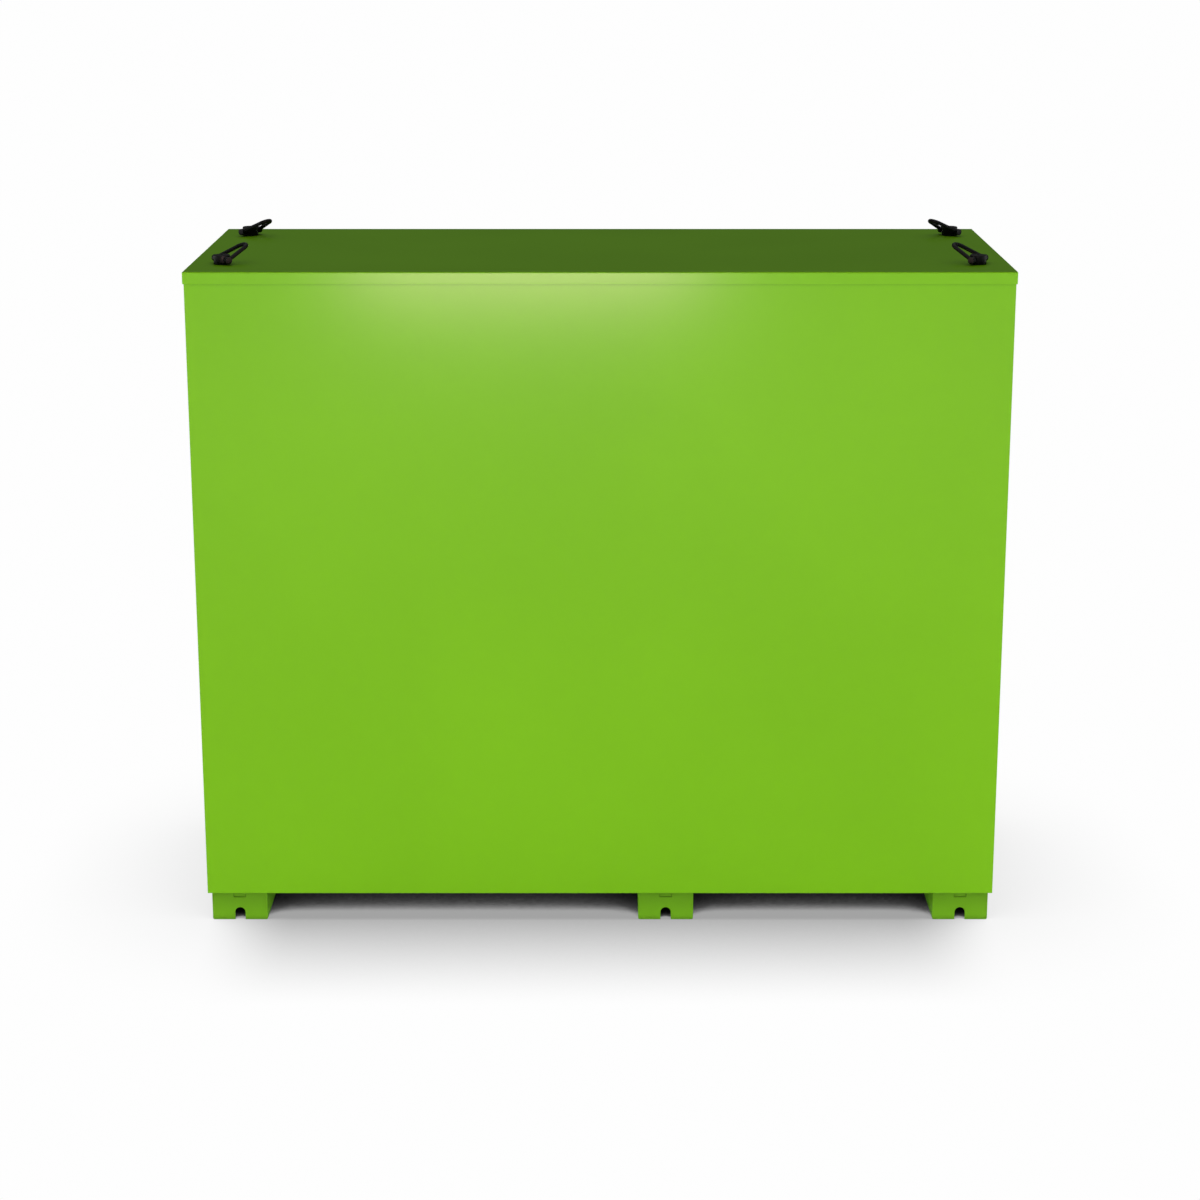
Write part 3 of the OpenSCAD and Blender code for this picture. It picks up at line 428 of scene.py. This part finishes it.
def select(piece, kind, wanted=lambda part: True):
    """In edit mode, selects the verts, edges or faces for which wanted is true."""
    bpy.ops.mesh.select_mode(type={"verts": "VERT", "edges": "EDGE", "faces": "FACE"}[kind])
    bpy.ops.mesh.select_all(action="DESELECT")
    mesh = bmesh.from_edit_mesh(piece.data)
    for part in getattr(mesh, kind):
        if wanted(part):
            part.select_set(True)
    mesh.select_flush_mode()
    bmesh.update_edit_mesh(piece.data)


def block(low, high):
    """A box between two corners, left in edit mode."""
    low, high = Vector(low), Vector(high)
    bpy.ops.mesh.primitive_cube_add(size=1, location=(low + high) / 2)
    piece = bpy.context.object
    piece.scale = high - low
    bpy.ops.object.transform_apply(location=True, rotation=True, scale=True)
    edit(piece)
    return piece


def apply_modifier(piece, kind, **settings):
    pick(piece)
    modifier = piece.modifiers.new(kind.lower(), kind)
    for key, value in settings.items():
        setattr(modifier, key, value)
    bpy.ops.object.modifier_apply(modifier=modifier.name)


def drum(sides, radius, near, far):
    """A cylinder round the Y axis, between two places on it."""
    bpy.ops.mesh.primitive_cylinder_add(vertices=sides, radius=radius, depth=far - near,
                                        location=(0, (near + far) / 2, 0), rotation=(math.pi / 2, 0, 0))
    bpy.ops.object.transform_apply(location=True, rotation=True, scale=True)
    return bpy.context.object


def discard(*pieces):
    for piece in pieces:
        pick(piece)
        bpy.ops.object.delete()


def copy_to(piece, turn):
    """A copy of the piece with its own mesh, moved and turned by a matrix."""
    pick(piece)
    bpy.ops.object.duplicate(linked=False)
    copy = bpy.context.object
    copy.matrix_world = turn
    bpy.ops.object.transform_apply(location=True, rotation=True, scale=True)
    return copy


def join(pieces):
    pick(pieces[0])
    for piece in pieces:
        piece.select_set(True)
    bpy.ops.object.join()
    return bpy.context.object


def settle(piece, name, body, slot, replaced=None):
    """Names a piece, puts its place in its mesh and says what it rides on, is made of and replaces."""
    if bpy.context.mode != "OBJECT":
        bpy.ops.object.mode_set(mode="OBJECT")
    pick(piece)
    bpy.ops.object.transform_apply(location=True, rotation=True, scale=True)
    bpy.ops.object.shade_smooth_by_angle(angle=SMOOTH_BELOW)
    apply_modifier(piece, "WEIGHTED_NORMAL", keep_sharp=True)
    piece.name = piece.data.name = name
    piece.data.materials.clear()
    piece.data.materials.append(FINISH[slot])
    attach(piece, body)
    if replaced:
        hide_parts(replaced)
    print(name, "faces", len(piece.data.polygons), "rides on", body)


# %% [markdown]
# ## Round folds
# Sheet steel that is bent in a press has a round outer edge, a little more than its own thickness in radius. That edge
# catches the light and is what makes a cabinet look folded and not carved. The frame's solids have sharp folds, so a
# copy of each folded part gets them rounded here, and stands in for its node. A Bevel modifier would round every edge,
# also the cut ones, so only the edges where two outer sides meet are selected and bevelled.

# %% Round folds
BOTTOM, BOTH_ENDS = {(Z, 0)}, {(Y, 0), (Y, 1)}
ROOF_FOLD, DOOR_FOLD, SHELF_FOLD, SKID_FOLD = 0.003, 0.0018, 0.002, 0.004
FLAT = math.radians(0.5)        # faces that meet at less are one flat face


def merged_copy(node):
    """A copy of a node as one closed mesh with clean faces, left in edit mode."""
    piece = bpy.data.objects.new(node, nodes[node].data.copy())
    scene.collection.objects.link(piece)
    edit(piece)
    select(piece, "verts")
    bpy.ops.mesh.remove_doubles(threshold=NEAR)
    bpy.ops.mesh.dissolve_limited(angle_limit=FLAT)
    return piece


def outer_sides(point, corners):
    """The sides of the box that a point lies on, each as its axis and end."""
    return {(axis, end) for axis in (X, Y, Z) for end in (0, 1) if abs(point[axis] - corners[end][axis]) < NEAR}


def round_folds(node, body, slot, radius, cut_sides=frozenset()):
    """Replaces a node by a copy whose outer edges are round, except along the sides that are cut."""
    corners = box_of(node)
    piece = merged_copy(node)

    def is_fold(edge):
        start, end = (outer_sides(v.co, corners) for v in edge.verts)
        return len((start & end) - cut_sides) > 1

    select(piece, "edges", is_fold)
    bpy.ops.mesh.bevel(offset=radius, segments=4, affect="EDGES")
    settle(piece, node + "_folded", body, slot, replaced=node)


round_folds("roof", "root", "green_powder_coat", ROOF_FOLD, cut_sides=BOTTOM)
for side in ("left", "right"):
    round_folds(f"{side}_door", f"{side}_door", "green_powder_coat", DOOR_FOLD)
    for level in ("lower", "upper"):
        round_folds(f"{side}_{level}_shelf", "root", "galvanised_steel", SHELF_FOLD, cut_sides=BOTTOM)
for side in ("left", "middle", "right"):
    round_folds(f"{side}_skid", "root", "green_powder_coat", SKID_FOLD, cut_sides=BOTH_ENDS)

# %% [markdown]
# ## Skid tabs
# A tab that is bent down from the top of each skid fills the slot in its end plate and holds the plate until it is
# welded. It stands a little behind the plate's face, so the slot shows as a dark outline. Each tab is a block with
# bevelled edges, as wide as the slot less the play that a press tool leaves.

# %% Skid tabs
SLOT_W, SLOT_H, SKID_T = 0.028, 0.008, 0.004
TAB_PLAY, TAB_BEHIND, TAB_EDGE = 0.0004, 0.0012, 0.0006

tabs = []
for side in ("left", "middle", "right"):
    low, high = box_of(f"{side}_skid")
    middle_x, top = (low.x + high.x) / 2, high.z - SKID_T
    for outer, inner in ((low.y + TAB_BEHIND, low.y + SKID_T), (high.y - TAB_BEHIND, high.y - SKID_T)):
        tab = block((middle_x - SLOT_W / 2 + TAB_PLAY, min(outer, inner), top - SLOT_H + TAB_PLAY),
                    (middle_x + SLOT_W / 2 - TAB_PLAY, max(outer, inner), top))
        select(tab, "edges", lambda edge: in_plane(edge, Y, outer))
        bpy.ops.mesh.bevel(offset=TAB_EDGE, segments=2, affect="EDGES")
        bpy.ops.object.mode_set(mode="OBJECT")
        tabs.append(tab)
settle(join(tabs), "skid_tabs", "root", "green_powder_coat")

# %% [markdown]
# ## Door seals
# A hollow rubber bulb on a flat foot runs round each doorway, and the closed door presses it. It could be a curve with
# a bevel profile, but a curve twists at square corners. Here a box is opened into a frame by an inset on both sides and
# a bridge between the insets, and the bulb is a narrower band that is extruded towards the door and rounded.

# %% Door seals
SEAL_W, FOOT_T = 0.012, 0.003
BULB_MARGIN, BULB_ROUND = 0.0018, 0.0036    # the foot beside the bulb, and the radius of the bulb's corners
DOORWAY_AREA = 0.5                          # less than the area of either doorway, in square metres


def door_seal(side):
    low, high = box_of(f"{side}_door_seal")
    foot_y = high.y - FOOT_T

    def from_outside(v):
        """How far a corner of the mesh is from the seal's outer edge."""
        return min(v.co.x - low.x, high.x - v.co.x, v.co.z - low.z, high.z - v.co.z)

    def is_bulb(face):
        near, far = BULB_MARGIN / 2, SEAL_W - BULB_MARGIN / 2
        return face.normal.y < -0.9 and all(near < from_outside(v) < far for v in face.verts)

    def is_bulb_corner(edge):
        upright = [face for face in edge.link_faces if abs(face.normal.y) < 0.5]
        return in_plane(edge, Y, low.y) and len(upright) == 1

    piece = block((low.x, foot_y, low.z), high)
    select(piece, "faces", lambda face: abs(face.normal.y) > 0.9)
    bpy.ops.mesh.inset(thickness=SEAL_W, use_even_offset=True)
    select(piece, "faces", lambda face: abs(face.normal.y) > 0.9 and face.calc_area() > DOORWAY_AREA)
    bpy.ops.mesh.bridge_edge_loops()
    select(piece, "faces", lambda face: face.normal.y < -0.9)
    bpy.ops.mesh.inset(thickness=BULB_MARGIN, use_even_offset=True)
    select(piece, "faces", is_bulb)
    bpy.ops.mesh.extrude_region_move(TRANSFORM_OT_translate={"value": (0, low.y - foot_y, 0)})
    select(piece, "edges", is_bulb_corner)
    bpy.ops.mesh.bevel(offset=BULB_ROUND, segments=4, affect="EDGES")
    select(piece, "verts")
    bpy.ops.mesh.normals_make_consistent(inside=False)
    settle(piece, f"{side}_bulb_seal", "root", "seal_rubber", replaced=f"{side}_door_seal")


for side in ("left", "right"):
    door_seal(side)

# %% [markdown]
# ## Handles and dishes
# A hand turns the bar of a handle, so the bar's front edge is round. A Bevel modifier takes its room from the shortest
# edge nearby, and the many short ones at the spindle would leave it next to none. So the front face is pushed back and
# brought forward again in three insets. The flange of a dish gets its rim in the same way, after its four corners have
# been bevelled.

# %% Handles and dishes
HANDLE_RIM = 0.0012
FLANGE_CORNER, FLANGE_RIM = 0.006, 0.0007
RIM_STEPS = ((0.134, 0.5), (0.366, 0.366), (0.5, 0.134))    # a quarter circle in three steps, inwards and forwards


def round_rim(piece, front, radius):
    """In edit mode, rounds the rim of the flat face at y = front, which looks along -Y."""
    select(piece, "faces", lambda face: in_plane(face, Y, front))
    bpy.ops.transform.translate(value=(0, radius, 0))
    for inward, forward in RIM_STEPS:
        bpy.ops.mesh.inset(thickness=radius * inward, use_even_offset=True)
        bpy.ops.transform.translate(value=(0, -radius * forward, 0))


for side in ("left", "right"):
    low, high = box_of(f"{side}_handle")
    piece = merged_copy(f"{side}_handle")
    round_rim(piece, low.y, HANDLE_RIM)
    settle(piece, f"{side}_handle_rounded", f"{side}_handle", "bright_steel", replaced=f"{side}_handle")

    low, high = box_of(f"{side}_dish")
    piece = merged_copy(f"{side}_dish")
    select(piece, "edges", lambda edge: any(in_plane(edge, X, x) for x in (low.x, high.x)) and
           any(in_plane(edge, Z, z) for z in (low.z, high.z)))
    bpy.ops.mesh.bevel(offset=FLANGE_CORNER, segments=6, affect="EDGES")
    round_rim(piece, low.y, FLANGE_RIM)
    settle(piece, f"{side}_dish_rounded", f"{side}_door", "black_powder_coat", replaced=f"{side}_dish")

# %% [markdown]
# ## Screws and bolts
# Four button-head screws hold each dish to its door, and two hex bolts with washers hold each lock case. A thread that
# nobody sees is left out. The head of a screw is a short cylinder with a round crown, and its hex socket is cut by a
# Boolean modifier with a six-sided cylinder. Each kind is made once, pointing along -Y or +Y, and then copied.

# %% Screws and bolts
FLANGE_FRONT, CASE_BACK = 0.0015, 0.045     # ahead of and behind the door's face
SCREW_OFF = 0.0675                          # a dish's screws beside the spindle and above it
SPACER_OFF = 0.037                          # the lock case's bolts above and below the spindle
SUNK = 0.0002                               # how far a head or washer reaches into its seat
HEAD_R, HEAD_H, CROWN = 0.0045, 0.0022, 0.0017
SOCKET_R, SOCKET_DEEP = 0.0018, 0.0013
BOLT_R, BOLT_TOP = 0.0058, 0.0054
CHAMFER, CHAMFER_RISE = 0.0008, 0.0005
WASHER_R, WASHER_T, WASHER_EDGE = 0.0075, 0.0016, 0.0004


def button_head():
    """A button-head screw whose seat is at y = 0 and whose crown points along -Y."""
    head = drum(24, HEAD_R, -HEAD_H, SUNK)
    edit(head)
    select(head, "edges", lambda edge: in_plane(edge, Y, -HEAD_H))
    bpy.ops.mesh.bevel(offset=CROWN, segments=4, affect="EDGES")
    bpy.ops.object.mode_set(mode="OBJECT")
    socket = drum(6, SOCKET_R, -HEAD_H - SOCKET_DEEP, -HEAD_H + SOCKET_DEEP)
    apply_modifier(head, "BOOLEAN", operation="DIFFERENCE", object=socket, solver="EXACT")
    discard(socket)
    return head


def hex_bolt():
    """A hex bolt on a washer, whose seat is at y = 0 and whose head points along +Y."""
    bolt = drum(6, BOLT_R, WASHER_T - SUNK, BOLT_TOP)
    edit(bolt)
    select(bolt, "faces", lambda face: face.normal.y > 0.9)
    bpy.ops.mesh.inset(thickness=CHAMFER)
    bpy.ops.transform.translate(value=(0, CHAMFER_RISE, 0))
    bpy.ops.object.mode_set(mode="OBJECT")
    washer = drum(24, WASHER_R, -SUNK, WASHER_T)
    edit(washer)
    select(washer, "edges", lambda edge: in_plane(edge, Y, WASHER_T))
    bpy.ops.mesh.bevel(offset=WASHER_EDGE, segments=2, affect="EDGES")
    bpy.ops.object.mode_set(mode="OBJECT")
    return join([bolt, washer])


screw, bolt = button_head(), hex_bolt()
for side in ("left", "right"):
    low, high = box_of(f"{side}_dish")
    hub = (low + high) / 2
    screws = [copy_to(screw, Matrix.Translation((hub.x + across, low.y, hub.z + up)))
              for across in (-SCREW_OFF, SCREW_OFF) for up in (-SCREW_OFF, SCREW_OFF)]
    settle(join(screws), f"{side}_dish_screws", f"{side}_door", "bright_steel")
    bolts = [copy_to(bolt, Matrix.Translation((hub.x, low.y + FLANGE_FRONT + CASE_BACK, hub.z + up)))
             for up in (-SPACER_OFF, SPACER_OFF)]
    settle(join(bolts), f"{side}_case_bolts", f"{side}_door", "bright_steel")
discard(screw, bolt)

# %% [markdown]
# ## Weld beads
# The skids are stitch-welded to the floor, and the hinge leaves are welded along their free edges. A bead is a string
# of overlapping drops. It could be a displaced cylinder, but here a ten-sided disc is extruded step by step, and every
# second ring is drawn in a little, so that each ring stands for one drop. The beads are painted with the cabinet.

# %% Weld beads
DROP = 0.0025
START, WAIST, END = 0.55, 0.86, 0.5         # how wide a bead is at its ends and between two drops


def bead(length, radius):
    """A weld bead along +X that starts at the origin."""
    bpy.ops.mesh.primitive_circle_add(vertices=10, radius=radius * START, rotation=(0, math.pi / 2, 0),
                                      fill_type="NGON")
    piece = bpy.context.object
    bpy.ops.object.transform_apply(location=True, rotation=True, scale=True)
    edit(piece)
    select(piece, "faces")
    steps = round(length / DROP)
    widths = [START] + [1.0 if n % 2 else WAIST for n in range(1, steps)] + [END]
    for n in range(1, steps + 1):
        bpy.ops.mesh.extrude_region_move(TRANSFORM_OT_translate={"value": (length / steps, 0, 0)})
        grow = widths[n] / widths[n - 1]
        bpy.ops.transform.resize(value=(1, grow, grow), center_override=(n * length / steps, 0, 0))
    select(piece, "verts")
    bpy.ops.mesh.normals_make_consistent(inside=False)
    bpy.ops.object.mode_set(mode="OBJECT")
    return piece


def lay(model, starts, turn, name, body):
    """Copies a bead to each start, turned by a matrix, and joins the copies into one piece."""
    copies = [copy_to(model, Matrix.Translation(start) @ turn) for start in starts]
    settle(join(copies), name, body, "green_powder_coat")


STITCH, STITCH_PITCH, STITCH_R = 0.05, 0.15, 0.004
STITCH_OUT, STITCH_DOWN = 0.001, 0.0015     # from the skid's top edge to the middle of the bead
stitch = bead(STITCH, STITCH_R)
starts = []
for side, open_sides in (("left", (1,)), ("middle", (-1, 1)), ("right", (-1,))):
    low, high = box_of(f"{side}_skid")
    count = int((high.y - low.y - STITCH) / STITCH_PITCH) + 1
    margin = (high.y - low.y - (count - 1) * STITCH_PITCH - STITCH) / 2
    for out in open_sides:
        edge_x = (high.x if out > 0 else low.x) + out * STITCH_OUT
        starts += [(edge_x, low.y + margin + n * STITCH_PITCH, high.z - STITCH_DOWN) for n in range(count)]
lay(stitch, starts, Matrix.Rotation(math.pi / 2, 4, "Z"), "skid_welds", "root")

HINGE_LEN, HINGE_COUNT = 0.0599, 3
LEAF_MARGIN, LEAF_BEAD_R, LEAF_BEAD_IN = 0.003, 0.0026, 0.0008
leaf_bead = bead(HINGE_LEN - 2 * LEAF_MARGIN, LEAF_BEAD_R)
upright = Matrix.Rotation(-math.pi / 2, 4, "Y")
for side in ("left", "right"):
    low, high = box_of(f"{side}_door_hinges")
    leaf_x = high.x if side == "left" else low.x
    rows = spread(low.z + LEAF_MARGIN, high.z - HINGE_LEN + LEAF_MARGIN, HINGE_COUNT)
    starts = [(leaf_x, high.y - LEAF_BEAD_IN, z) for z in rows]
    lay(leaf_bead, starts, upright, f"{side}_door_hinge_welds", f"{side}_door")
# Each fixed leaf is just below its loose one, but its pin reaches up past it.
loose_top = high.z
low, high = box_of("fixed_hinges")
rows = spread(low.z + LEAF_MARGIN, loose_top - 2 * HINGE_LEN + LEAF_MARGIN, HINGE_COUNT)
starts = [(x, high.y - LEAF_BEAD_IN, z) for x in (low.x, high.x) for z in rows]
lay(leaf_bead, starts, upright, "fixed_hinge_welds", "root")
discard(stitch, leaf_bead)

# %% [markdown]
# ## Spot welds
# Electrodes pinch the wings of the door stiffeners to the door's sheet and leave a shallow round dent with a raised
# rim. There are a hundred and sixty, so each has few faces: a ten-sided disc, inset twice, with its middle pushed in.

# %% Spot welds
SPOT_R, SPOT_PITCH = 0.0038, 0.085
SPOT_RINGS = ((0.0006, 0.0005), (0.0007, -0.0001), (0.0006, -0.00025))      # how far in and how far up each one is
HAT_HALF, WING, HAT_SHEET = 0.025, 0.015, 0.0015


def spot():
    """A dished disc that lies in the XZ plane and faces along +Y."""
    bpy.ops.mesh.primitive_circle_add(vertices=10, radius=SPOT_R, rotation=(-math.pi / 2, 0, 0), fill_type="NGON")
    piece = bpy.context.object
    bpy.ops.object.transform_apply(location=True, rotation=True, scale=True)
    edit(piece)
    select(piece, "faces")
    for inward, rise in SPOT_RINGS:
        bpy.ops.mesh.inset(thickness=inward)
        bpy.ops.transform.translate(value=(0, rise, 0))
    bpy.ops.object.mode_set(mode="OBJECT")
    return piece


model = spot()
for side, count in (("left", 2), ("right", 3)):
    low, high = box_of(f"{side}_stiffeners")
    middles = spread(low.x + HAT_HALF + WING, high.x - HAT_HALF - WING, count)
    rows = int((high.z - low.z) / SPOT_PITCH)
    margin = (high.z - low.z - (rows - 1) * SPOT_PITCH) / 2
    spots = [copy_to(model, Matrix.Translation((x + off, low.y + HAT_SHEET, low.z + margin + row * SPOT_PITCH)))
             for x in middles for off in (-HAT_HALF - WING / 2, HAT_HALF + WING / 2) for row in range(rows)]
    settle(join(spots), f"{side}_spot_welds", f"{side}_door", "green_powder_coat")
discard(model)
